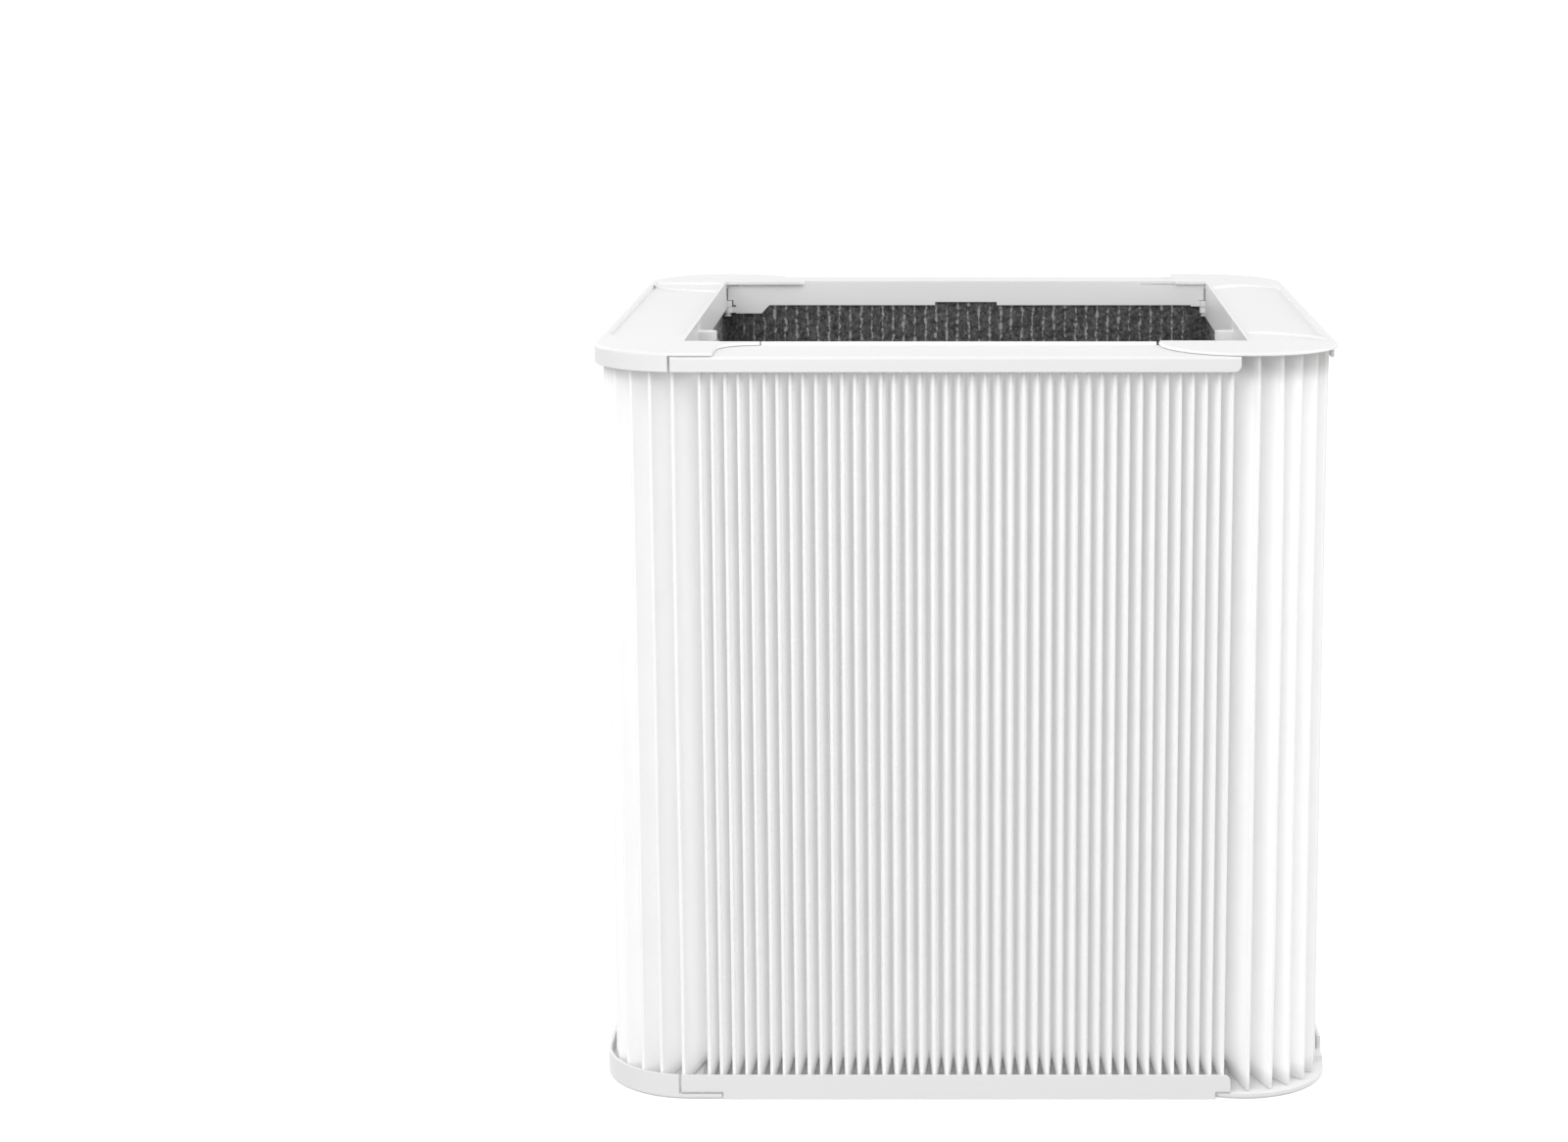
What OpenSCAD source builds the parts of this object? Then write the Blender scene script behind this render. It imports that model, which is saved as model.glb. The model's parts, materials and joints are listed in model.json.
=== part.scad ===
// Square pleated filter cartridge with a folding frame.
// Origin: middle of the underside. +X to the right, +Y to the rear, +Z up. Millimetres.
// Each end frame is four bars, pinned at the corners of the air passage, so the whole cartridge
// folds flat as a parallelogram. The side bars lap over the ends of the front and rear bars.

/* [Overall] */
// Clear width of the square air passage
passage_w = 240; // [220:1:280]
// Width of the frame round the passage
flange_w = 38; // [36:1:44]
// Height over both end frames
height = 324; // [240:1:400]
// Radius of the two skirted outer corners
corner_r = 40; // [38:1:40]

/* [End frames] */
// Thickness of the plates of the top frame
top_plate_t = 1.4; // [1.2:0.1:2]
// Thickness of the plates of the bottom frame
bottom_plate_t = 2.4; // [1.6:0.1:2.6]
// Depth of the top frame's outer skirt
top_skirt_h = 8.1; // [7:0.1:9]
// Depth of the bottom frame's outer skirt
bottom_skirt_h = 10.7; // [8:0.1:12]
// Thickness of skirts and inner walls
wall_t = 1.5; // [1.2:0.1:2]
// Depth of the inner walls of the front and rear bars
cross_wall_h = 12; // [11:0.5:12.5]
// Depth of the inner wall of the left bars
left_wall_h = 13.5; // [13:0.5:17.5]
// Depth of the inner wall of the right bars
right_wall_h = 17.5; // [13:0.5:18]
// Running gap between lapped plates
lap_gap = 0.2; // [0.15:0.05:0.3]

/* [Hinges] */
// Outer radius of a hinge knuckle
knuckle_r = 2.6; // [2.4:0.1:2.8]
// Radius of a hinge pin
pin_r = 1.25; // [1:0.05:1.4]
// Radial clearance of a pin in its knuckle
pin_clearance = 0.05; // [0.03:0.01:0.08]

/* [Filter media] */
// Pitch of the pleats
pleat_pitch = 5.4; // [5:0.1:6]
// Number of full pleats on each side
pleat_count = 42; // [36:1:42]
// Thickness of the folded paper
paper_t = 0.8; // [0.5:0.1:1]
// Thickness of the carbon liner
liner_t = 0.8; // [0.5:0.1:1.2]

/* [Hidden] */

half = passage_w / 2;
outer = half + flange_w;
corner_c = outer - corner_r;
edge_r = 1.2;
skirt_t = 1.4;
eps = 0.5;

// Lapped ends
disc_r = flange_w;
disc_gap = 0.3;
slab_end = half - 2;
lap_x = half - 15;
lap_fillet_r = 17.5;
foot_near = 12.5;
slit_w = 1;
slit_x = half + 3;
skirt_stop = half - 6;
side_skirt_start = half - 11;
skirt_end_r = 3;
wall_end = 0.4;

// Recesses in the side bars and lip on the front and rear bars
rib_t = 1.8;
rim_w = 3.2;
tray_w = flange_w - rim_w - wall_t;
tray_end = 29.9;
lip_end = half - disc_r - 1;
lap_clear = 0.5;

// Knuckles, measured down from the outer face of a frame
knuckle_top = 9.6;
knuckle_h = 3.0;
knuckle_step = 3.2;
knuckle_low = knuckle_top + knuckle_step;
leaf_h = knuckle_low + knuckle_h + 0.4;
leaf_near = 1.4;
leaf_far = 17.3;
leaf_slope = 4;
corner_clear = 3.1;
arm_w = 5;
arm_off = 4.5;
side_leaf = 8;
pin_head_r = 2;
pin_head_h = 0.8;
pin_len = leaf_h - knuckle_top + 0.4;

// Key tabs and the small notch in the middle of each cross wall
tab_front = -43;
tab_r = 4;
tab_reach = 8;
tab_top = 5;
tab_h = 4;
notch_w = 31;
notch_h = 1.6;

// Pleats: u is the distance outward from the edge of the passage
tip_u = 34.5;
root_u = 2.8;
liner_u = 1.7;
liner_end = half - 5;
glue_h = 1;
pleat_x0 = -pleat_count * pleat_pitch / 2;
top_stack = 2 * top_plate_t + lap_gap;
bottom_stack = 2 * bottom_plate_t + lap_gap;

// Corner fans: radius of their inner folds, and the angles at which they start, part and end
fan_r0 = 4.2;
fan_start = 2;
fan_part = 45;
fan_part_gap = 1;
fan_folds = 5;
half_fan_folds = 2;

module in_top_frame() { translate([0, 0, height]) children(); }
module in_bottom_frame() { mirror([0, 0, 1]) children(); }
module half_turn() { rotate([0, 0, 180]) children(); }

// Quarter-round outer edge: points of the upper outer corner at (u, z)
function round_corner(u, z, r) = [for (i = [0:4]) [u - r + r * sin(22.5 * i), z - r + r * cos(22.5 * i)]];

// Section of a plate with a skirt: u outward, z up, outer face at z = top
function plate_skirt_section(u0, top, t, skirt) = concat(
    [[u0, top - t], [u0, top]],
    round_corner(outer - corner_c, top, edge_r),
    [[outer - corner_c, -skirt], [outer - corner_c - skirt_t, -skirt], [outer - corner_c - skirt_t, top - t]]
);

function disc_section(r, t) = concat(
    [[0, -t], [0, 0]],
    round_corner(r, 0, min(edge_r, t - 0.3)),
    [[r, -t]]
);

// Runs a (u, z) section along the rear edge of the frame, from x = x0 to x1
module along_rear(x0, x1) {
    translate([x0, corner_c, 0]) rotate([90, 0, 90]) linear_extrude(x1 - x0) children();
}

// Runs a (u, z) section along the right edge of the frame, from y = y0 to y1
module along_right(y0, y1) {
    translate([corner_c, y1, 0]) rotate([90, 0, 0]) linear_extrude(y1 - y0) children();
}

// One hinge knuckle at a corner, z0 below the outer face, with an arm to its bar's wall
module knuckle(x, y, z0, along_x) {
    difference() {
        union() {
            translate([x, y, -z0 - knuckle_h]) cylinder(r = knuckle_r, h = knuckle_h, $fn = 48);
            if (along_x) {
                translate([x - sign(x) * arm_off - arm_w / 2, y < 0 ? y - wall_t : y, -z0 - knuckle_h])
                    cube([arm_w, wall_t, knuckle_h]);
            } else {
                translate([x < 0 ? x - wall_t : x, y - sign(y) * arm_off - arm_w / 2, -z0 - knuckle_h])
                    cube([wall_t, arm_w, knuckle_h]);
            }
        }
        translate([x, y, -z0 - knuckle_h - 1])
            cylinder(r = pin_r + pin_clearance, h = knuckle_h + 2, $fn = 48);
    }
}

// Room for the knuckles of both bars at the corner (x, y)
module knuckle_room(x, y) {
    translate([x - corner_clear, y - corner_clear, -2 * leaf_h])
        cube([2 * corner_clear, 2 * corner_clear, 2 * leaf_h - knuckle_top + lap_gap]);
}

// Rear bar of one end frame, in its own place, with its outer face towards +Z at z = 0.
// It lies one plate lower than the side bars. Its left end is the low knuckle's.
module cross_bar(t, skirt, foot) {
    low = t + lap_gap;
    u_in = half - corner_c;
    difference() {
        union() {
            along_rear(-skirt_stop, slit_x - slit_w / 2)
                polygon(plate_skirt_section(u_in, -low, t, skirt));
            // inner wall with its hinge leaf
            difference() {
                translate([-half + wall_end, half, -cross_wall_h])
                    cube([passage_w - 2 * wall_end, wall_t, cross_wall_h - low - t / 2]);
                translate([-notch_w / 2, half - 1, -cross_wall_h - 1])
                    cube([notch_w, wall_t + 2, notch_h + 1]);
                knuckle_room(-half, half);
                knuckle_room(half, half);
            }
            translate([0, half + wall_t, 0]) rotate([90, 0, 0]) linear_extrude(wall_t)
                polygon([
                    [-half + leaf_near + corner_clear, -cross_wall_h + 1],
                    [-half + leaf_near + corner_clear, -leaf_h],
                    [-half + leaf_far, -leaf_h],
                    [-half + leaf_far + leaf_slope, -cross_wall_h],
                    [-half + leaf_far + leaf_slope, -cross_wall_h + 1]
                ]);
            // raised lip on the edge of the passage
            translate([-lip_end, half, -low - t / 2])
                cube([lip_end + lap_x - lap_fillet_r - lap_clear, wall_t, low + t / 2]);
            // the skirt's outer foot, level with the side bars
            if (foot) {
                translate([-half + foot_near, outer - skirt_t, -skirt + 1])
                    cube([lap_x - lap_clear + half - foot_near, skirt_t, skirt - 1]);
            }
        }
        // rounded lower end of the skirt
        translate([-skirt_stop, outer + 1, -skirt]) rotate([90, 0, 0]) linear_extrude(2 * wall_t + 1)
            difference() {
                translate([-1, -1]) square(skirt_end_r + 1);
                translate([skirt_end_r, skirt_end_r]) circle(r = skirt_end_r, $fn = 48);
            }
    }
    knuckle(-half, half, knuckle_low, true);
    knuckle(half, half, knuckle_top, true);
}

// Plan of the side bar's plate that laps over the rear bar, beyond the skirted corner
module lap_plan() {
    translate([lap_x, half - 2]) square([half - lap_x + 2, flange_w + 2]);
    difference() {
        translate([lap_x - lap_fillet_r, half]) square([lap_fillet_r + eps, lap_fillet_r + wall_t]);
        translate([lap_x - lap_fillet_r, half + lap_fillet_r + wall_t])
            circle(r = lap_fillet_r, $fn = 96);
    }
}

// Right bar of one end frame. Its front end is a disc about the front right hinge, and its
// rear end wraps the rear right corner with a skirt.
module side_bar(t, skirt, wall_h, tab_y) {
    slab_t = 2 * t + lap_gap / 2;
    pocket = t + lap_gap / 2;
    u_in = half - corner_c;
    difference() {
        union() {
            // slab between the lapped ends
            translate([half, -slab_end, -slab_t]) cube([flange_w - edge_r, 2 * slab_end, slab_t]);
            along_right(-slab_end, corner_c + eps)
                polygon(plate_skirt_section(u_in, 0, slab_t, skirt));
            // disc over the front bar's end
            intersection() {
                translate([half, -half, 0]) rotate_extrude($fn = 144) polygon(disc_section(disc_r, t));
                translate([0, -outer - 1, -t - 1]) cube([outer + 1, outer + 2 - slab_end, t + 2]);
            }
            // skirted rear corner
            translate([corner_c, corner_c, 0]) rotate_extrude(angle = 90, $fn = 144)
                polygon(plate_skirt_section(0, 0, t, skirt));
            // lap over the rear bar
            intersection() {
                along_rear(0, corner_c + eps) polygon(plate_skirt_section(-20, 0, t, t));
                translate([0, 0, -t - 1]) linear_extrude(t + 2) lap_plan();
            }
            // inner wall
            difference() {
                translate([half, -half + wall_end, -wall_h])
                    cube([wall_t, passage_w - 2 * wall_end, wall_h - t / 2]);
                knuckle_room(half, -half);
                knuckle_room(half, half);
            }
            translate([half, half - leaf_far, -leaf_h]) cube([wall_t, leaf_far - corner_clear, leaf_h - t]);
            translate([half, -half + wall_end, -knuckle_top]) cube([wall_t, side_leaf, knuckle_top]);
            // key tab, on the top frame only
            if (tab_y != 0) {
                translate([half - tab_reach + tab_r, tab_y, -tab_top - tab_h]) linear_extrude(tab_h) {
                    circle(r = tab_r, $fn = 48);
                    translate([0, -tab_r]) square([tab_reach - tab_r + eps, 2 * tab_r]);
                }
            }
        }
        // long tray, round at the rear
        translate([0, 0, -pocket]) linear_extrude(pocket + 1) difference() {
            union() {
                translate([half + wall_t, -half]) square([tray_w, passage_w - tray_end]);
                translate([half + wall_t + tray_w / 2, half - tray_end])
                    circle(r = tray_w / 2, $fn = 96);
            }
            translate([half, -half]) circle(r = disc_r + disc_gap, $fn = 144);
        }
        // recess between the rib and the lapped front end
        translate([0, 0, -pocket]) linear_extrude(pocket + 1) intersection() {
            translate([half, -half]) circle(r = disc_r + disc_gap - rib_t, $fn = 144);
            translate([half + wall_t, -slab_end + wall_t]) square([tray_w, 2 * disc_r]);
        }
        // no skirt on the front corner, nor past the slit at the rear
        translate([outer - 2 * skirt_t, -outer - 1, -skirt - 1])
            cube([4 * skirt_t, outer + 1 - side_skirt_start, skirt + 1 - slab_t]);
        translate([corner_c - 2, corner_c + corner_r / 2, -skirt - 1])
            cube([slit_x + slit_w / 2 - corner_c + 2, corner_r, skirt + 1 - t]);
    }
    knuckle(half, -half, knuckle_top, false);
    knuckle(half, half, knuckle_low, false);
}

module top_rear_bar() { color("white") in_top_frame() cross_bar(top_plate_t, top_skirt_h, false); }
module top_front_bar() {
    color("white") in_top_frame() half_turn() cross_bar(top_plate_t, top_skirt_h, false);
}
module top_right_bar() {
    color("white") in_top_frame() side_bar(top_plate_t, top_skirt_h, right_wall_h, tab_front);
}
module top_left_bar() {
    color("white") in_top_frame() half_turn() side_bar(top_plate_t, top_skirt_h, left_wall_h, -tab_front);
}
module bottom_rear_bar() {
    color("white") in_bottom_frame() cross_bar(bottom_plate_t, bottom_skirt_h, true);
}
module bottom_front_bar() {
    color("white") in_bottom_frame() half_turn() cross_bar(bottom_plate_t, bottom_skirt_h, true);
}
module bottom_right_bar() {
    color("white") in_bottom_frame() side_bar(bottom_plate_t, bottom_skirt_h, right_wall_h, 0);
}
module bottom_left_bar() {
    color("white") in_bottom_frame() half_turn() side_bar(bottom_plate_t, bottom_skirt_h, left_wall_h, 0);
}

// A zigzag sheet along +X from x0, n pleats, from u = root_u to tip_u, drawn on the rear side
function zigzag(n, x0, u0, u1) = concat(
    [for (i = [0:2 * n]) [x0 + i * pleat_pitch / 2, (i % 2 == 0 ? u0 : u1 - paper_t)]],
    [for (i = [2 * n:-1:0]) [x0 + i * pleat_pitch / 2, (i % 2 == 0 ? u0 + paper_t : u1)]]
);

module pleat_pack(z0, z1) {
    translate([0, half, z0]) linear_extrude(z1 - z0)
        polygon(zigzag(pleat_count, pleat_x0, root_u, tip_u));
}

// A fan of pleats about the rear right corner of the passage, from angle a0 to a1
function fan(a0, a1, n) = concat(
    [for (i = [0:2 * n])
        let (a = a0 + (a1 - a0) * i / (2 * n), r = (i % 2 == 0 ? tip_u : fan_r0 + paper_t))
        [half + r * cos(a), half + r * sin(a)]],
    [for (i = [2 * n:-1:0])
        let (a = a0 + (a1 - a0) * i / (2 * n), r = (i % 2 == 0 ? tip_u - paper_t : fan_r0))
        [half + r * cos(a), half + r * sin(a)]]
);

module corner_fan(a0, a1, n) {
    translate([0, 0, bottom_stack + glue_h])
        linear_extrude(height - bottom_stack - top_stack - 2 * glue_h) polygon(fan(a0, a1, n));
}

module cross_pleats() { pleat_pack(bottom_stack + glue_h, height - top_stack - glue_h); }

module rear_pleats() { color("whitesmoke") cross_pleats(); }
module front_pleats() { color("whitesmoke") half_turn() cross_pleats(); }
module right_pleats() { color("whitesmoke") rotate([0, 0, -90]) cross_pleats(); }
module left_pleats() { color("whitesmoke") rotate([0, 0, 90]) cross_pleats(); }

// A whole fan where the outside of the corner spreads as the cartridge folds, and the two halves
// of a fan, one on each bar, where it closes
module whole_fan() { corner_fan(fan_start, 90 - fan_start, fan_folds); }
module near_half_fan() { corner_fan(fan_start, fan_part - fan_part_gap, half_fan_folds); }
module far_half_fan() { corner_fan(fan_part + fan_part_gap, 90 - fan_start, half_fan_folds); }

module rear_right_corner_pleats() { color("whitesmoke") whole_fan(); }
module front_left_corner_pleats() { color("whitesmoke") half_turn() whole_fan(); }
module front_right_corner_pleats_front() { color("whitesmoke") rotate([0, 0, -90]) near_half_fan(); }
module front_right_corner_pleats_side() { color("whitesmoke") rotate([0, 0, -90]) far_half_fan(); }
module rear_left_corner_pleats_rear() { color("whitesmoke") rotate([0, 0, 90]) near_half_fan(); }
module rear_left_corner_pleats_side() { color("whitesmoke") rotate([0, 0, 90]) far_half_fan(); }

module liner() {
    translate([-liner_end, half + liner_u, bottom_stack + glue_h])
        cube([2 * liner_end, liner_t, height - bottom_stack - top_stack - 2 * glue_h]);
}

module rear_carbon_liner() { color("dimgray") liner(); }
module front_carbon_liner() { color("dimgray") half_turn() liner(); }
module right_carbon_liner() { color("dimgray") rotate([0, 0, -90]) liner(); }
module left_carbon_liner() { color("dimgray") rotate([0, 0, 90]) liner(); }

// The beads that hold the ends of the pleats and the liner in the two frames
module glue_beads() {
    for (z = [bottom_stack, height - top_stack - glue_h])
        translate([pleat_x0 - 1, half + liner_u, z])
            cube([pleat_count * pleat_pitch + 2, tip_u - liner_u, glue_h]);
}

module rear_glue_beads() { color("ivory") glue_beads(); }
module front_glue_beads() { color("ivory") half_turn() glue_beads(); }
module right_glue_beads() { color("ivory") rotate([0, 0, -90]) glue_beads(); }
module left_glue_beads() { color("ivory") rotate([0, 0, 90]) glue_beads(); }

// A headed pin in the top frame and another in the bottom frame
module hinge_pins(x, y) {
    module pin() {
        translate([x, y, -knuckle_top - pin_len]) cylinder(r = pin_r, h = pin_len, $fn = 48);
        translate([x, y, -knuckle_top - pin_len - pin_head_h])
            cylinder(r = pin_head_r, h = pin_head_h, $fn = 48);
    }
    in_top_frame() pin();
    in_bottom_frame() pin();
}

module front_left_hinge_pins() { color("white") hinge_pins(-half, -half); }
module rear_right_hinge_pins() { color("white") hinge_pins(half, half); }
module rear_left_hinge_pins() { color("white") hinge_pins(-half, half); }
module front_right_hinge_pins() { color("white") hinge_pins(half, -half); }

top_front_bar();
top_rear_bar();
top_left_bar();
top_right_bar();
bottom_front_bar();
bottom_rear_bar();
bottom_left_bar();
bottom_right_bar();
front_pleats();
rear_pleats();
left_pleats();
right_pleats();
front_left_corner_pleats();
rear_right_corner_pleats();
rear_left_corner_pleats_rear();
rear_left_corner_pleats_side();
front_right_corner_pleats_front();
front_right_corner_pleats_side();
front_carbon_liner();
rear_carbon_liner();
left_carbon_liner();
right_carbon_liner();
front_glue_beads();
rear_glue_beads();
left_glue_beads();
right_glue_beads();
front_left_hinge_pins();
rear_right_hinge_pins();
rear_left_hinge_pins();
front_right_hinge_pins();
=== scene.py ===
import json
import math
import random

import bpy
import numpy as np
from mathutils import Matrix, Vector, noise


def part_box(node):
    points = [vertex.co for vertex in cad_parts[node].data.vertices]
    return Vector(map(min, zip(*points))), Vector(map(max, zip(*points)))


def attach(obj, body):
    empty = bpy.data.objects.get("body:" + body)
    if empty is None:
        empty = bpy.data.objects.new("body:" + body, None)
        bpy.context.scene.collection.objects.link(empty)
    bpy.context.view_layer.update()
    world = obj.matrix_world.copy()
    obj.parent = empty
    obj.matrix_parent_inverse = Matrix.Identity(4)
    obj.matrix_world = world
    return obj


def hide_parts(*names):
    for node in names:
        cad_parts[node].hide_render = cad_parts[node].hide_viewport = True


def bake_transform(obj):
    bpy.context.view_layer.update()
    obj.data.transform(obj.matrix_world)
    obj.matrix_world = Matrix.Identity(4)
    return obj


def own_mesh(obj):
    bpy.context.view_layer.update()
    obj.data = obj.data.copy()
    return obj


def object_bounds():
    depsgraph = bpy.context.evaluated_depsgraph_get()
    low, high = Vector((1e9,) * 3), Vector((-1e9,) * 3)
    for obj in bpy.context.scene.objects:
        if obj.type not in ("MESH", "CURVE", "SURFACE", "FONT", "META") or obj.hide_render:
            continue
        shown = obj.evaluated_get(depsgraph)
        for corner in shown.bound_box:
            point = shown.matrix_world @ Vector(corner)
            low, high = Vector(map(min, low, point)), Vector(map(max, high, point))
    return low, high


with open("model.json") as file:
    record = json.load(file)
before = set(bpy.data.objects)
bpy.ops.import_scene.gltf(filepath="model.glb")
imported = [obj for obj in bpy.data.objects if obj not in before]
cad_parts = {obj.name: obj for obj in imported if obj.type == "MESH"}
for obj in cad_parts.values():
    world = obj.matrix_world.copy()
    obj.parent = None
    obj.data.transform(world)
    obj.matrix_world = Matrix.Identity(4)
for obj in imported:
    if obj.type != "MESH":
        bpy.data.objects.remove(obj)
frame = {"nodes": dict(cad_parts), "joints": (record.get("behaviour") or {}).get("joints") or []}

# Square pleated filter cartridge: paper, liner, moulded frame, light and camera. Metres.
# A "side" or "corner" is built at the rear, where outward is +Y, or at the rear right corner, and
# is turned about Z to its own place. u is the distance outward from the edge of the passage.

cad_low, cad_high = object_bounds()
MM = 0.001

# Places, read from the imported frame. HALF is half the passage's width, where the hinges are.
fold_joint = next(joint for joint in frame["joints"] if joint["name"] == "fold")
HALF = abs(Vector(fold_joint["pos_m"]).x)
pack_low, pack_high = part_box("rear_pleats")
liner_low, liner_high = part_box("rear_carbon_liner")
PACK_END = pack_high.x
ROOT_U = pack_low.y - HALF
TIP_U = pack_high.y - HALF
PACK_Z = (pack_low.z, pack_high.z)
LINER_U = (liner_low.y + liner_high.y) / 2 - HALF
LINER_Z = (liner_low.z, liner_high.z)
TOP = cad_high.z

# Folded paper
PLEATS = 42
PITCH = 2 * PACK_END / PLEATS
PAPER_T = 0.5 * MM
TIP_R = 0.5 * MM
ROOT_R = 0.45 * MM
PAPER_LEVELS = 18

# How uneven the pleats of a side are: shift, shortness, bulge of a flank, and drift up the height.
# All of it falls to HELD_SHARE where glue holds the ends.
PLEAT_SHIFT = 0.25 * MM
PLEAT_SHORT = 0.5 * MM
PLEAT_BULGE = 0.15 * MM
PLEAT_DRIFT = 0.08 * MM
HELD_SHARE = 0.25

# Corner fans: tips about every 17 degrees, folded in to a small circle round the hinge. A half
# fan's free edge is HALF_FAN_EDGE of a step past its last tip.
FAN_TIPS = 6
FAN_FIRST = 3.0
FAN_STEP = (90 - 2 * FAN_FIRST) / (FAN_TIPS - 1)
FAN_ROOT_R = 5.0 * MM
FAN_SEAM = 0.4 * MM
HALF_FAN_EDGE = 0.48

# How uneven the folds of a fan are: degrees aside, shortness, bulge, and degrees of drift
FAN_SHIFT = 1.6
FAN_SHORT = 0.7 * MM
FAN_BULGE = (-0.6 * MM, 0.9 * MM)
FAN_DRIFT = 0.9

# A closing corner's fan stands between the discs of the end frames
BOTTOM_DISC = 2.4 * MM
TOP_DISC = 1.4 * MM
PLATE_CLEAR = 0.5 * MM

# Carbon liner: a cloth on each side, drawn in at the folds and crumpled, and a strip round each
# hinge. STRIP_BEND is set but bends nothing
CLOTH_T = 0.7 * (liner_high.y - liner_low.y)
CLOTH_END = liner_high.x - 3 * MM
CLOTH_LEVELS = 25
SCALLOP = 0.14 * MM
CRUMPLE = 0.12 * MM
STRIP_R = 3.35 * MM
STRIP_GAP = 0.05 * MM
STRIP_BEND = 3.0 * MM
STRIP_LEVELS = 13

# Folds sharper than this stay crisp in the shading
SHARP_ANGLE = math.radians(40)

SIDE_TURN = {"rear": 0, "right": -90, "front": 180, "left": 90}
CORNER_TURN = {"rear_right": 0, "front_left": 180, "rear_left": 90, "front_right": -90}


# ---------- geometry helpers ----------

def turned(points, degrees):
    """2D points turned about the origin."""
    angle = math.radians(degrees)
    cosine, sine = math.cos(angle), math.sin(angle)
    return np.asarray(points, float) @ np.array([[cosine, sine], [-sine, cosine]])


def polar(radius, degrees):
    """A point about the rear right corner of the passage."""
    angle = math.radians(degrees)
    return (HALF + radius * math.cos(angle), HALF + radius * math.sin(angle))


def belt(pegs, arc_steps, flank_steps, bow):
    """The line of a belt laid round pegs (x, y, radius, turn), where turn is 1 to the left and -1
    to the right. Returns its points and their left-hand normals. bow bulges each straight flank."""
    centre = np.array([p[:2] for p in pegs], float)
    radius = np.array([p[2] for p in pegs], float)
    turn = np.array([p[3] for p in pegs], float)
    along = np.diff(centre, axis=0)
    length = np.linalg.norm(along, axis=1)
    ahead = along / length[:, None]
    left = np.stack([-ahead[:, 1], ahead[:, 0]], 1)
    slant = (turn[1:] * radius[1:] - turn[:-1] * radius[:-1]) / length
    normal = slant[:, None] * ahead + np.sqrt(1 - slant * slant)[:, None] * left
    leave = centre[:-1] - (turn * radius)[:-1, None] * normal
    reach = centre[1:] - (turn * radius)[1:, None] * normal
    points, normals = [leave[0]], [normal[0]]
    for k in range(len(normal)):
        for i in range(1, flank_steps + 1):
            t = i / (flank_steps + 1)
            bulge = bow[k] * math.sin(math.pi * t)
            points.append(leave[k] * (1 - t) + reach[k] * t + bulge * normal[k])
            normals.append(normal[k])
        if k == len(normal) - 1:
            points.append(reach[k])
            normals.append(normal[k])
            break
        start = math.atan2(normal[k][1], normal[k][0])
        stop = math.atan2(normal[k + 1][1], normal[k + 1][0])
        sweep = (stop - start) * turn[k + 1] % (2 * math.pi) * turn[k + 1]
        for i in range(arc_steps + 1):
            angle = start + sweep * i / arc_steps
            out = np.array([math.cos(angle), math.sin(angle)])
            points.append(centre[k + 1] - turn[k + 1] * radius[k + 1] * out)
            normals.append(out)
    return np.array(points), np.array(normals)


def thick_sheet(name, lines, heights, thickness, degrees):
    """A closed sheet through one (points, normals) line for each height, turned to its side."""
    levels, count = len(heights), len(lines[0][0])
    verts = []
    for side in (1, -1):
        for (points, normals), z in zip(lines, heights):
            xy = turned(points + side * normals * thickness / 2, degrees)
            verts.append(np.column_stack([xy, np.full(count, z)]))

    def at(side, k, j):
        return (side * levels + k) * count + j

    faces = []
    for k in range(levels - 1):
        for j in range(count - 1):
            faces.append((at(0, k, j), at(0, k + 1, j), at(0, k + 1, j + 1), at(0, k, j + 1)))
            faces.append((at(1, k, j), at(1, k, j + 1), at(1, k + 1, j + 1), at(1, k + 1, j)))
        end = count - 1
        faces.append((at(0, k, 0), at(1, k, 0), at(1, k + 1, 0), at(0, k + 1, 0)))
        faces.append((at(0, k, end), at(0, k + 1, end), at(1, k + 1, end), at(1, k, end)))
    last = levels - 1
    for j in range(count - 1):
        faces.append((at(0, 0, j), at(0, 0, j + 1), at(1, 0, j + 1), at(1, 0, j)))
        faces.append((at(0, last, j), at(1, last, j), at(1, last, j + 1), at(0, last, j + 1)))
    return mesh_piece(name, np.vstack(verts), faces)


def mesh_piece(name, verts, faces):
    mesh = bpy.data.meshes.new(name)
    mesh.from_pydata([tuple(v) for v in verts], [], faces)
    mesh.shade_smooth()
    mesh.set_sharp_from_angle(angle=SHARP_ANGLE)
    mesh.update()
    piece = bpy.data.objects.new(name, mesh)
    bpy.context.scene.collection.objects.link(piece)
    return piece


def even_heights(low, high, count):
    return [low + (high - low) * i / (count - 1) for i in range(count)]


def paper_heights(low, high):
    """Heights of the paper's levels, closer together near the glued ends."""
    steps = PAPER_LEVELS - 1
    shares = [0.5 - 0.5 * math.cos(math.pi * i / steps) for i in range(PAPER_LEVELS)]
    return [low + (high - low) * share for share in shares]


def wander(seed, z, size):
    """A smooth sideways drift up the height of a fold, about seven swings a metre."""
    return size * noise.noise(Vector((seed * 7.31, z * 7.0, seed * 0.57)))


def held(z, low, high):
    """How far a fold strays at height z: HELD_SHARE at the glued ends and 1 at mid height."""
    t = (z - low) / (high - low)
    if not 0 < t < 1:
        return HELD_SHARE
    return HELD_SHARE + (1 - HELD_SHARE) * math.sin(math.pi * t) ** 0.5


# ---------- materials ----------

def grey(value):
    return (value, value, value)


BLACK = grey(0)
WHITE = grey(1)


def new_material(name):
    material = bpy.data.materials.new(name)
    material.use_nodes = True
    tree = material.node_tree
    tree.nodes.clear()
    out = tree.nodes.new("ShaderNodeOutputMaterial")
    shader = tree.nodes.new("ShaderNodeBsdfPrincipled")
    tree.links.new(shader.outputs["BSDF"], out.inputs["Surface"])
    return material, tree, shader


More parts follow.
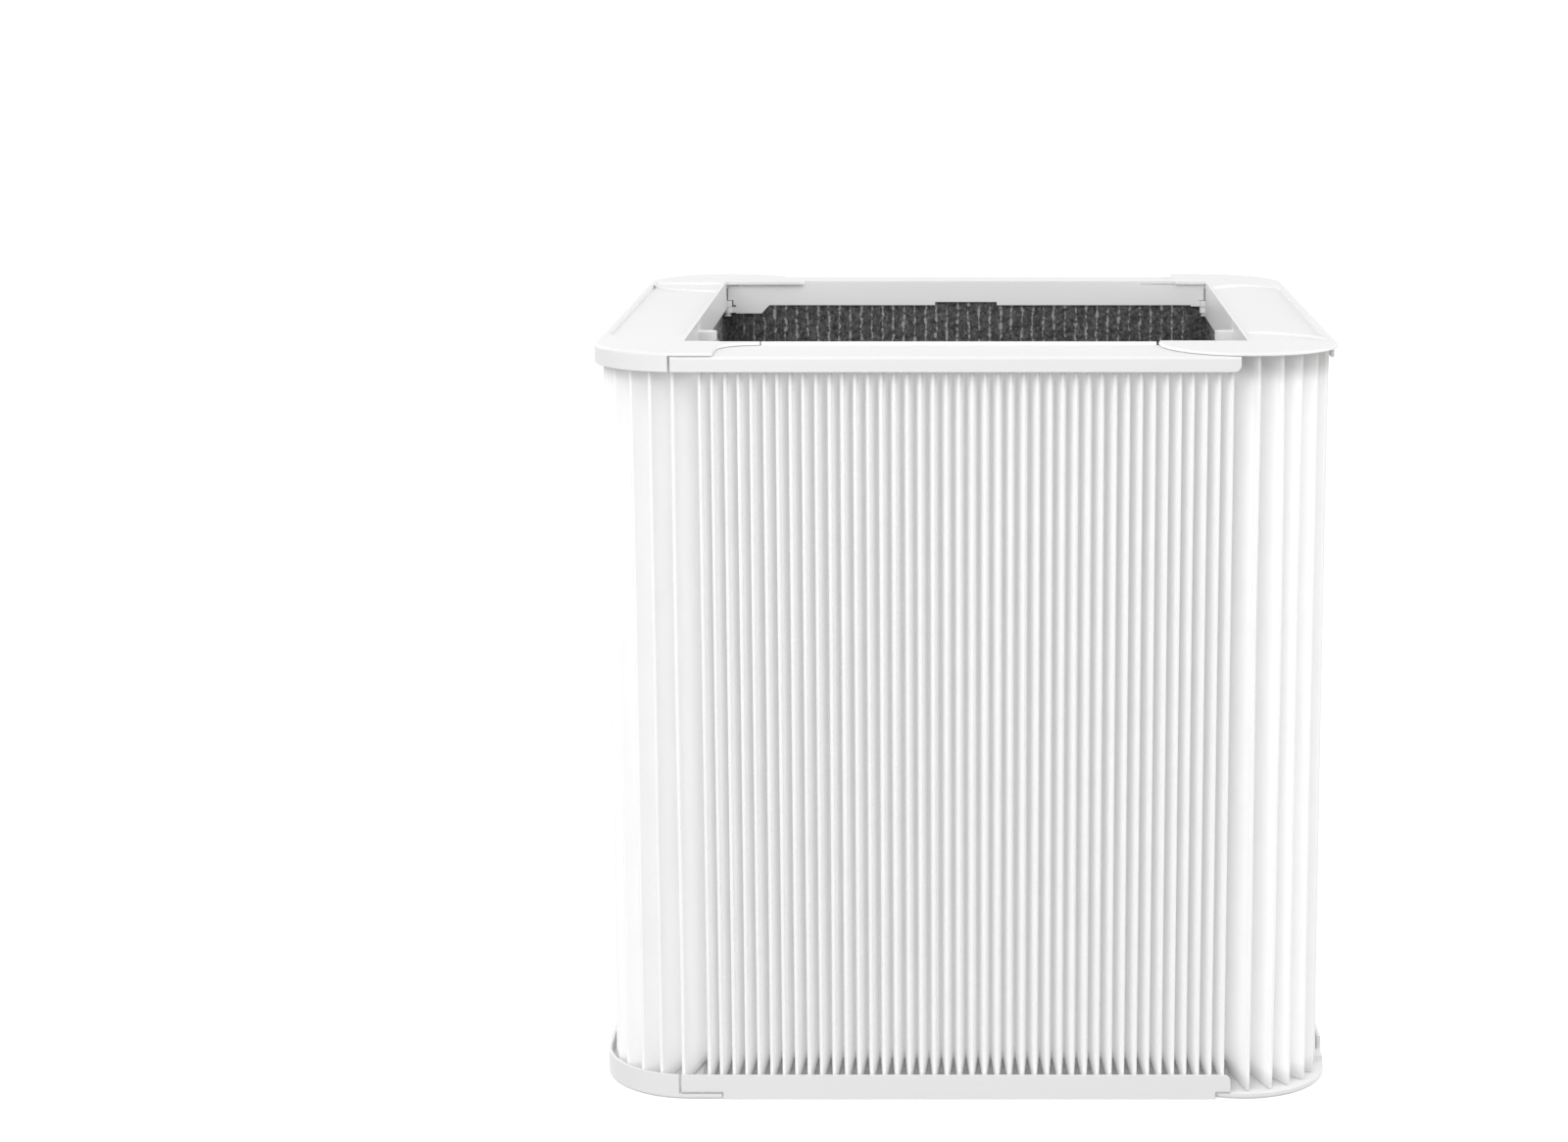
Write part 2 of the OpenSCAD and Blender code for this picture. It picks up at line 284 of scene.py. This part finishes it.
def place_in(tree, stretch=(1, 1, 1)):
    """Coordinates in the shared frame, stretched along each axis."""
    coord = tree.nodes.new("ShaderNodeTexCoord")
    mapping = tree.nodes.new("ShaderNodeMapping")
    mapping.inputs["Scale"].default_value = stretch
    tree.links.new(coord.outputs["Object"], mapping.inputs["Vector"])
    return mapping.outputs["Vector"]


def noise_in(tree, vector, scale, detail=3.0, roughness=0.5):
    node = tree.nodes.new("ShaderNodeTexNoise")
    node.inputs["Scale"].default_value = scale
    node.inputs["Detail"].default_value = detail
    node.inputs["Roughness"].default_value = roughness
    tree.links.new(vector, node.inputs["Vector"])
    return node.outputs["Fac"]


def ramp_in(tree, value, stops):
    node = tree.nodes.new("ShaderNodeValToRGB")
    elements = node.color_ramp.elements
    while len(elements) < len(stops):
        elements.new(0.5)
    for element, (position, colour) in zip(elements, stops):
        element.position = position
        element.color = (*colour, 1)
    tree.links.new(value, node.inputs["Fac"])
    return node.outputs["Color"]


def math_in(tree, operation, a, b=None, c=None, clamp=False):
    node = tree.nodes.new("ShaderNodeMath")
    node.operation = operation
    node.use_clamp = clamp
    for socket, value in zip(node.inputs, (a, b, c)):
        if isinstance(value, (int, float)):
            socket.default_value = value
        elif value is not None:
            tree.links.new(value, socket)
    return node.outputs["Value"]


def mix_in(tree, factor, a, b):
    """Colours a and b mixed by factor; each is a colour or a socket."""
    node = tree.nodes.new("ShaderNodeMix")
    node.data_type = "RGBA"
    tree.links.new(factor, node.inputs["Factor"])
    colour_a, colour_b = node.inputs[6:8]
    for socket, value in ((colour_a, a), (colour_b, b)):
        if isinstance(value, tuple):
            socket.default_value = (*value, 1)
        else:
            tree.links.new(value, socket)
    return node.outputs[2]


def bump_in(tree, shader, height, strength, distance, under=None):
    node = tree.nodes.new("ShaderNodeBump")
    node.inputs["Strength"].default_value = strength
    node.inputs["Distance"].default_value = distance
    tree.links.new(height, node.inputs["Height"])
    if under is not None:
        tree.links.new(under, node.inputs["Normal"])
    tree.links.new(node.outputs["Normal"], shader.inputs["Normal"])


def split_in(tree, vector):
    node = tree.nodes.new("ShaderNodeSeparateXYZ")
    tree.links.new(vector, node.inputs["Vector"])
    return node.outputs


def moulded_plastic(name, light, dark, roughness):
    """White moulded plastic: faint flow marks, a fine satin grain, and softened edges."""
    material, tree, shader = new_material(name)
    place = place_in(tree)
    flow = noise_in(tree, place_in(tree, (1, 1, 3)), 14, 2)
    grain = noise_in(tree, place, 2600, 2)
    colour = mix_in(tree, flow, dark, light)
    tree.links.new(colour, shader.inputs["Base Color"])
    rough = ramp_in(tree, grain, [(0.3, grey(roughness - 0.05)), (0.7, grey(roughness + 0.06))])
    tree.links.new(rough, shader.inputs["Roughness"])
    shader.inputs["Specular IOR Level"].default_value = 0.4
    bevel = tree.nodes.new("ShaderNodeBevel")
    bevel.samples = 4
    bevel.inputs["Radius"].default_value = 0.35 * MM
    bump_in(tree, shader, grain, 0.18, 0.03 * MM, bevel.outputs["Normal"])
    return material


def filter_paper(name, glow, deep_share=1.0):
    """White nonwoven filter paper: crossed fibres, a cloudy weight of fibre, and a soft sheen. The
    paper also glows faintly, a painted light that stands in for the light thin paper passes on from
    fold to fold. The painted glow falls to deep_share of itself at the inner folds, where less light
    arrives, and at the tips, where it escapes."""
    material, tree, shader = new_material(name)
    upright = noise_in(tree, place_in(tree, (1, 1, 0.22)), 2400, 4, 0.6)
    across = noise_in(tree, place_in(tree, (0.3, 0.3, 1)), 2000, 4, 0.6)
    fibres = math_in(tree, "MULTIPLY", math_in(tree, "ADD", upright, across), 0.5)
    cloud = noise_in(tree, place_in(tree), 70, 3, 0.5)
    weight = math_in(tree, "MULTIPLY", cloud, 0.45)
    shade = math_in(tree, "MULTIPLY_ADD", fibres, 0.55, weight)
    colour = ramp_in(tree, shade, [(0.3, grey(0.875)), (0.65, grey(0.92))])
    place = split_in(tree, place_in(tree))
    up = math_in(tree, "DIVIDE", place["Z"], TOP)
    # Painted shade: grey bands at the paper's glued ends, where it meets the end plates in the frame's
    # shade.
    glued = ramp_in(tree, up, [(0.012, WHITE), (0.032, BLACK), (0.955, BLACK), (0.976, WHITE)])
    colour = mix_in(tree, glued, colour, (0.6, 0.6, 0.595))
    tree.links.new(colour, shader.inputs["Base Color"])
    # Painted light: the paper emits a faint glow of its own, white or graded by depth.
    shader.inputs["Emission Color"].default_value = (*WHITE, 1)
    if deep_share < 1:
        tree.links.new(painted_glow_by_depth(tree, place, deep_share), shader.inputs["Emission Color"])
    shader.inputs["Emission Strength"].default_value = glow
    shader.inputs["Roughness"].default_value = 0.85
    shader.inputs["Specular IOR Level"].default_value = 0.25
    shader.inputs["Sheen Weight"].default_value = 0.12
    shader.inputs["Sheen Roughness"].default_value = 0.6
    bump_in(tree, shader, fibres, 0.25, 0.05 * MM)
    return material


def painted_glow_by_depth(tree, place, deep_share):
    """Colour of the paper's painted glow: white from two thirds to three quarters of the way out of a
    straight pleat pack, and deep_share of white at its inner folds and its tips."""
    side_x = math_in(tree, "ABSOLUTE", place["X"])
    side_y = math_in(tree, "ABSOLUTE", place["Y"])
    out = math_in(tree, "MAXIMUM", side_x, side_y)
    beyond_roots = math_in(tree, "SUBTRACT", out, HALF + ROOT_U)
    depth = math_in(tree, "DIVIDE", beyond_roots, TIP_U - ROOT_U)
    deep = grey(deep_share)
    return ramp_in(tree, depth, [(0.1, deep), (0.65, WHITE), (0.76, WHITE), (0.9, deep)])


def carbon_cloth(name, line_axis):
    """Black carbon granules in a mesh. Where the folds of the paper touch it, glue shows through
    as broken pale lines at the pleat pitch; line_axis is 0 or 1, or None for no lines."""
    material, tree, shader = new_material(name)
    place = place_in(tree)
    granules = tree.nodes.new("ShaderNodeTexVoronoi")
    granules.inputs["Scale"].default_value = 700
    tree.links.new(place, granules.inputs["Vector"])
    fuzz = noise_in(tree, place, 1500, 4, 0.7)
    clumps = noise_in(tree, place, 520, 3, 0.75)
    body = ramp_in(tree, fuzz, [(0.3, (0.010, 0.010, 0.011)), (0.5, (0.042, 0.042, 0.044)),
                                (0.7, (0.14, 0.14, 0.145))])
    dark = ramp_in(tree, clumps, [(0.38, (0.012, 0.012, 0.013)), (0.62, (0.15, 0.15, 0.155))])
    mixing = ramp_in(tree, granules.outputs["Distance"], [(0.1, BLACK), (0.7, WHITE)])
    colour = mix_in(tree, mixing, body, dark)
    if line_axis is not None:
        colour = mix_in(tree, glue_lines(tree, place, line_axis), colour, (0.36, 0.36, 0.365))
    tree.links.new(colour, shader.inputs["Base Color"])
    shader.inputs["Roughness"].default_value = 0.72
    shader.inputs["Sheen Weight"].default_value = 0.05
    height = math_in(tree, "ADD", math_in(tree, "MULTIPLY", granules.outputs["Distance"], -1.0), fuzz)
    bump_in(tree, shader, height, 0.8, 0.3 * MM)
    return material


def glue_lines(tree, place, line_axis):
    """How much glue shows: broken lines one pitch apart, of changing width and strength."""
    drift = math_in(tree, "MULTIPLY", noise_in(tree, place, 170, 3, 0.7), 3.0 * MM)
    shifted = math_in(tree, "ADD", split_in(tree, place)[line_axis], drift)
    within = math_in(tree, "FRACT", math_in(tree, "DIVIDE", shifted, PITCH))
    apart = math_in(tree, "ABSOLUTE", math_in(tree, "SUBTRACT", within, 0.5))
    beads = noise_in(tree, place_in(tree, (0.5, 0.5, 1)), 480, 3, 0.65)
    width = ramp_in(tree, beads, [(0.36, grey(0.02)), (0.62, grey(0.17))])
    near = math_in(tree, "SUBTRACT", width, apart)
    line = math_in(tree, "MULTIPLY", near, 14.0, clamp=True)
    strength = ramp_in(tree, beads, [(0.36, grey(0.35)), (0.58, WHITE)])
    return math_in(tree, "MULTIPLY", line, strength)


def hot_melt(name):
    """Set glue, glossy in places, with a lumpy surface. It is coloured mid grey, darker than its own
    off-white, as painted shade on the shadowed floors between the folds.
    """
    material, tree, shader = new_material(name)
    place = place_in(tree)
    lumps = noise_in(tree, place, 260, 3, 0.55)
    # Painted shade: the glue's mid grey stands for the shadow on the floors between the folds.
    colour = ramp_in(tree, lumps, [(0.35, (0.36, 0.36, 0.35)), (0.65, (0.50, 0.50, 0.49))])
    tree.links.new(colour, shader.inputs["Base Color"])
    gloss = noise_in(tree, place, 700, 2)
    rough = ramp_in(tree, gloss, [(0.3, grey(0.3)), (0.7, grey(0.5))])
    tree.links.new(rough, shader.inputs["Roughness"])
    bump_in(tree, shader, lumps, 0.6, 0.4 * MM)
    return material


def floor_paint(name):
    """Pale matt backdrop paint, bright enough to meet the white background without a line."""
    material, tree, shader = new_material(name)
    grain = noise_in(tree, place_in(tree), 60, 3)
    colour = ramp_in(tree, grain, [(0.3, grey(0.94)), (0.7, grey(0.955))])
    tree.links.new(colour, shader.inputs["Base Color"])
    shader.inputs["Roughness"].default_value = 0.9
    shader.inputs["Specular IOR Level"].default_value = 0.1
    shader.inputs["Emission Color"].default_value = (*WHITE, 1)
    shader.inputs["Emission Strength"].default_value = 0.4
    return material


PLASTIC = moulded_plastic("satin_white_plastic", (0.86, 0.862, 0.86), (0.83, 0.832, 0.828), 0.38)
PIN_PLASTIC = moulded_plastic("pin_plastic", (0.84, 0.84, 0.835), (0.80, 0.80, 0.795), 0.3)
# Painted glow of the paper: emission 0.14 on the straight packs, graded by depth, and an even 0.13 on the
# corners.
PAPER = filter_paper("filter_paper", 0.14, 0.76)
CORNER_PAPER = filter_paper("corner_paper", 0.13)
CARBON_ALONG_X = carbon_cloth("carbon_cloth_cross", 0)
CARBON_ALONG_Y = carbon_cloth("carbon_cloth_side", 1)
CARBON_PLAIN = carbon_cloth("carbon_cloth_plain", None)
GLUE = hot_melt("hot_melt")


def paint(obj, material):
    if not obj.material_slots:
        obj.data.materials.append(material)
    for slot in obj.material_slots:
        slot.material = material


# ---------- folded paper ----------

def straight_pack(side):
    """The folded paper on one side: pleats with rounded tips and narrow inner folds."""
    rand = random.Random(side)
    seed = 3.0 + SIDE_TURN[side] / 10
    shift = [rand.uniform(-PLEAT_SHIFT, PLEAT_SHIFT) for _ in range(PLEATS)]
    short = [rand.uniform(0, PLEAT_SHORT) for _ in range(PLEATS)]
    bulge = [rand.uniform(-PLEAT_BULGE, PLEAT_BULGE) for _ in range(2 * PLEATS)]
    root = HALF + ROOT_U + PAPER_T / 2
    heights = paper_heights(*PACK_Z)
    lines = []
    for z in heights:
        loose = held(z, *PACK_Z)
        pegs = [(-PACK_END, root, 0, 1)]
        for i in range(PLEATS):
            x = -PACK_END + (i + 0.5) * PITCH
            x += loose * (shift[i] + wander(seed + i, z, PLEAT_DRIFT))
            tip = HALF + TIP_U - PAPER_T / 2 - TIP_R - short[i] * loose
            pegs.append((x, tip, TIP_R, -1))
            if i < PLEATS - 1:
                inner = -PACK_END + (i + 1) * PITCH
                pegs.append((inner, root + ROOT_R, ROOT_R, 1))
        pegs.append((PACK_END, root, 0, 1))
        bow = [loose * b for b in bulge]
        lines.append(belt(pegs, arc_steps=6, flank_steps=2, bow=bow))
    piece = thick_sheet(side + "_pleated_paper", lines, heights, PAPER_T, SIDE_TURN[side])
    paint(piece, PAPER)
    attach(piece, side)
    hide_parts(side + "_pleats")


def fan_lines(heights, first, last, seed):
    """Lines of a corner fan at each height, from the tip numbered first down to the tip last. Tip
    FAN_TIPS - 1 is next to the rear side and tip 0 next to the right side. A fan that starts or
    stops in the middle has a free edge there."""
    rand = random.Random(seed)
    shift = [rand.uniform(-FAN_SHIFT, FAN_SHIFT) for _ in range(FAN_TIPS)]
    short = [rand.uniform(0, FAN_SHORT) for _ in range(FAN_TIPS)]
    bulge = [rand.uniform(*FAN_BULGE) for _ in range(2 * FAN_TIPS + 2)]
    side_u = ROOT_U + PAPER_T / 2
    lines = []
    for z in heights:
        loose = held(z, heights[0], heights[-1])
        if first == FAN_TIPS - 1:
            pegs = [(PACK_END + FAN_SEAM, HALF + side_u, 0, 1)]
        else:
            pegs = [fan_root(first + HALF_FAN_EDGE, 0)]
        for tip in range(first, last - 1, -1):
            inside = 0 < tip < FAN_TIPS - 1
            angle = FAN_FIRST + FAN_STEP * tip
            angle += loose * ((shift[tip] if inside else 0) + wander(seed + tip * 3, z, FAN_DRIFT))
            reach = TIP_U - TIP_R - PAPER_T / 2 - short[tip] * loose
            pegs.append((*polar(reach, angle), TIP_R, -1))
            if tip > last:
                pegs.append(fan_root(tip - 0.5, ROOT_R))
        if last == 0:
            pegs.append((HALF + side_u, PACK_END + FAN_SEAM, 0, 1))
        else:
            pegs.append(fan_root(last - HALF_FAN_EDGE, 0))
        bow = [loose * b for b in bulge[: len(pegs) - 1]]
        lines.append(belt(pegs, arc_steps=6, flank_steps=4, bow=bow))
    return lines


def fan_root(place, radius):
    """A peg for an inner fold of a fan, at a place counted in tips."""
    return (*polar(FAN_ROOT_R, FAN_FIRST + FAN_STEP * place), radius, 1)


def corner_fan(name, corner, node, low, high, first, last, rests_on):
    """The folded paper of a corner, or of half of it, in place of a CAD node."""
    heights = paper_heights(low, high)
    seed = 40 + len(corner) + first * 2
    lines = fan_lines(heights, first, last, seed)
    piece = thick_sheet(name, lines, heights, PAPER_T, CORNER_TURN[corner])
    paint(piece, CORNER_PAPER)
    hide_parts(node)
    return piece


def spreading_corner(corner, before):
    """A corner whose outside opens as the cartridge folds: one fan between its two sides, and the
    liner strip round its hinge. before is the body next to the fan's first tip."""
    fan = corner_fan(corner + "_corner_paper", corner, corner + "_corner_pleats", *PACK_Z,
                     FAN_TIPS - 1, 0, [before + "_glue_beads"])
    strip = liner_strip(corner + "_liner_corner", corner, True, True)
    for piece, reach in ((fan, TIP_U), (strip, STRIP_BEND)):
        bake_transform(piece)


def closing_corner(corner, far, near, far_node, near_node):
    """A corner whose outside closes: half the fan rides on each side.
    far is the body on the fan's first side and near the body on its last."""
    low, high = BOTTOM_DISC + PLATE_CLEAR, TOP - TOP_DISC - PLATE_CLEAR
    middle = FAN_TIPS // 2
    halves = (
        (far, far_node, FAN_TIPS - 1, middle, (1, 0), (PACK_END, HALF), (CLOTH_END, HALF)),
        (near, near_node, middle - 1, 0, (0, 1), (HALF, PACK_END), (HALF, CLOTH_END)),
    )
    for body, node, first, last, axis, fan_anchor, strip_anchor in halves:
        fan_name = corner + "_corner_paper_" + body
        strip_name = corner + "_liner_corner_" + body
        half_fan = corner_fan(fan_name, corner, node, low, high, first, last, ["bottom_%s_bar" % body])
        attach(half_fan, body)
        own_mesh(half_fan)
        strip = liner_strip(strip_name, corner, body == far, body == near)
        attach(strip, body)
        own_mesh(strip)


# ---------- carbon liner ----------

def liner_panel(side):
    """The carbon liner of one side, drawn in a little at each fold of the paper."""
    steps = PLEATS * 4
    seed = 9.0 + SIDE_TURN[side] / 7
    heights = even_heights(*LINER_Z, CLOTH_LEVELS)
    lines = []
    for z in heights:
        points, normals = [], []
        for i in range(steps + 1):
            x = -CLOTH_END + 2 * CLOTH_END * i / steps
            scallop = SCALLOP * math.cos(2 * math.pi * x / PITCH)
            crumple = wander(seed + round(x / PITCH) * 0.31, z * 2, CRUMPLE)
            points.append((x, HALF + LINER_U + scallop + crumple))
            normals.append((0, 1))
        lines.append((np.array(points), np.array(normals, float)))
    piece = thick_sheet(side + "_carbon_cloth", lines, heights, CLOTH_T, SIDE_TURN[side])
    paint(piece, CARBON_ALONG_X if side in ("front", "rear") else CARBON_ALONG_Y)
    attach(piece, side)
    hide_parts(side + "_carbon_liner")


def liner_strip(name, corner, far_half, near_half):
    """The liner round the hinge of a corner, whole or either half of it."""
    u = HALF + LINER_U
    end = CLOTH_END + STRIP_GAP
    heights = even_heights(*LINER_Z, STRIP_LEVELS)
    pegs = [(end, u, 0, 1), (HALF, HALF, STRIP_R, -1), (u, end, 0, 1)]
    points, normals = belt(pegs, arc_steps=12, flank_steps=2, bow=[0, 0])
    middle = len(points) // 2
    if not near_half:
        points, normals = points[: middle + 1], normals[: middle + 1]
    if not far_half:
        points, normals = points[middle:], normals[middle:]
    lines = [(points, normals)] * len(heights)
    piece = thick_sheet(name, lines, heights, CLOTH_T, CORNER_TURN[corner])
    paint(piece, CARBON_PLAIN)
    return piece


# ---------- frame ----------

def finish_frame():
    """Materials of the moulded bars, the pins and the glue, which keep their CAD shapes."""
    for name, node in frame["nodes"].items():
        if name.endswith("_bar"):
            paint(node, PLASTIC)
        elif name.endswith("_pins"):
            paint(node, PIN_PLASTIC)
        elif name.endswith("_beads"):
            paint(node, GLUE)


def gate_marks():
    """The small low domes that moulding left on the upper bars, where the plastic was let in. A mark
    is placed by the body it is on, its hinge, and how many millimetres it is outward from that."""
    radius = 0.9 * MM
    flatness = 0.35
    sunk = 0.1 * MM
    front_left, rear_right = -1, 1
    marks = (("left", front_left, 24, 12), ("left", front_left, 35.5, 8), ("front", front_left, 1, 33.5),
             ("rear", rear_right, -22, 6.5), ("rear", rear_right, 11, 8.5))
    for number, (body, hinge, out_x, out_y) in enumerate(marks):
        x = hinge * (HALF + out_x * MM)
        y = hinge * (HALF + out_y * MM)
        bpy.ops.mesh.primitive_uv_sphere_add(segments=20, ring_count=10, radius=radius)
        dome = bpy.context.object
        dome.name = "gate_mark_%d" % number
        dome.scale.z = flatness
        dome.location = (x, y, TOP - sunk)
        bpy.ops.object.transform_apply(location=True, rotation=False, scale=True)
        bpy.ops.object.shade_smooth()
        paint(dome, PIN_PLASTIC)
        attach(dome, body)


# ---------- stage ----------

def floor():
    """A wide pale floor. The light that it would throw up comes from the background instead."""
    reach = 30.0
    below = 0.05 * MM
    corners = [(-reach, -reach, 0), (reach, -reach, 0), (reach, reach, 0), (-reach, reach, 0)]
    mesh = bpy.data.meshes.new("floor")
    mesh.from_pydata(corners, [], [(0, 1, 2, 3)])
    plane = bpy.data.objects.new("floor", mesh)
    bpy.context.scene.collection.objects.link(plane)
    plane.location.z = cad_low.z - below
    plane.visible_diffuse = False
    plane.visible_shadow = False
    paint(plane, floor_paint("floor_paint"))


def background():
    """A white background, dimmer high up, and much dimmer from below, as off a pale floor."""
    world = bpy.data.worlds.new("studio")
    world.use_nodes = True
    bpy.context.scene.world = world
    tree = world.node_tree
    shader = tree.nodes["Background"]
    shader.inputs["Color"].default_value = (*WHITE, 1)
    coord = tree.nodes.new("ShaderNodeTexCoord")
    up = split_in(tree, coord.outputs["Generated"])["Z"]
    rise = math_in(tree, "MULTIPLY_ADD", up, 0.5, 0.5)
    glow = ramp_in(tree, rise, [(0.484, grey(0.3)), (0.494, WHITE), (0.62, WHITE), (0.75, grey(0.74))])
    tree.links.new(glow, shader.inputs["Strength"])


def soft_light(name, place, target, size, watts):
    """A square softbox that points at target."""
    data = bpy.data.lights.new(name, "AREA")
    data.shape = "SQUARE"
    data.size = size
    data.energy = watts
    light = bpy.data.objects.new(name, data)
    bpy.context.scene.collection.objects.link(light)
    light.location = place
    light.rotation_euler = (Vector(target) - Vector(place)).to_track_quat("-Z", "Y").to_euler()


def camera():
    """Looks square at the front from a little above, with the cartridge right of the middle."""
    pitch_down = 0.172
    data = bpy.data.cameras.new("camera")
    data.sensor_width = 36.0
    data.lens = 70.7
    data.shift_x = -0.116
    data.shift_y = -0.055
    data.clip_end = 200
    cam = bpy.data.objects.new("camera", data)
    bpy.context.scene.collection.objects.link(cam)
    cam.location = (0, -1.420, 0.488)
    cam.rotation_euler = (math.pi / 2 - pitch_down, 0, 0)
    bpy.context.scene.camera = cam
    bpy.context.scene.view_settings.view_transform = "Standard"


camera()
floor()
background()
soft_light("front_softbox", (-0.5, -1.4, 0.85), (0, -0.15, 0.2), size=1.2, watts=11)
soft_light("right_softbox", (1.45, -0.1, 0.75), (0, 0, 0.3), size=0.9, watts=8)
soft_light("rear_softbox", (-0.9, 1.2, 0.8), (0, 0, 0.2), size=1.0, watts=6)
finish_frame()
gate_marks()
for one_side in SIDE_TURN:
    straight_pack(one_side)
    liner_panel(one_side)
spreading_corner("rear_right", "rear")
spreading_corner("front_left", "front")
closing_corner("front_right", "right", "front", "front_right_corner_pleats_side",
               "front_right_corner_pleats_front")
closing_corner("rear_left", "left", "rear", "rear_left_corner_pleats_side", "rear_left_corner_pleats_rear")
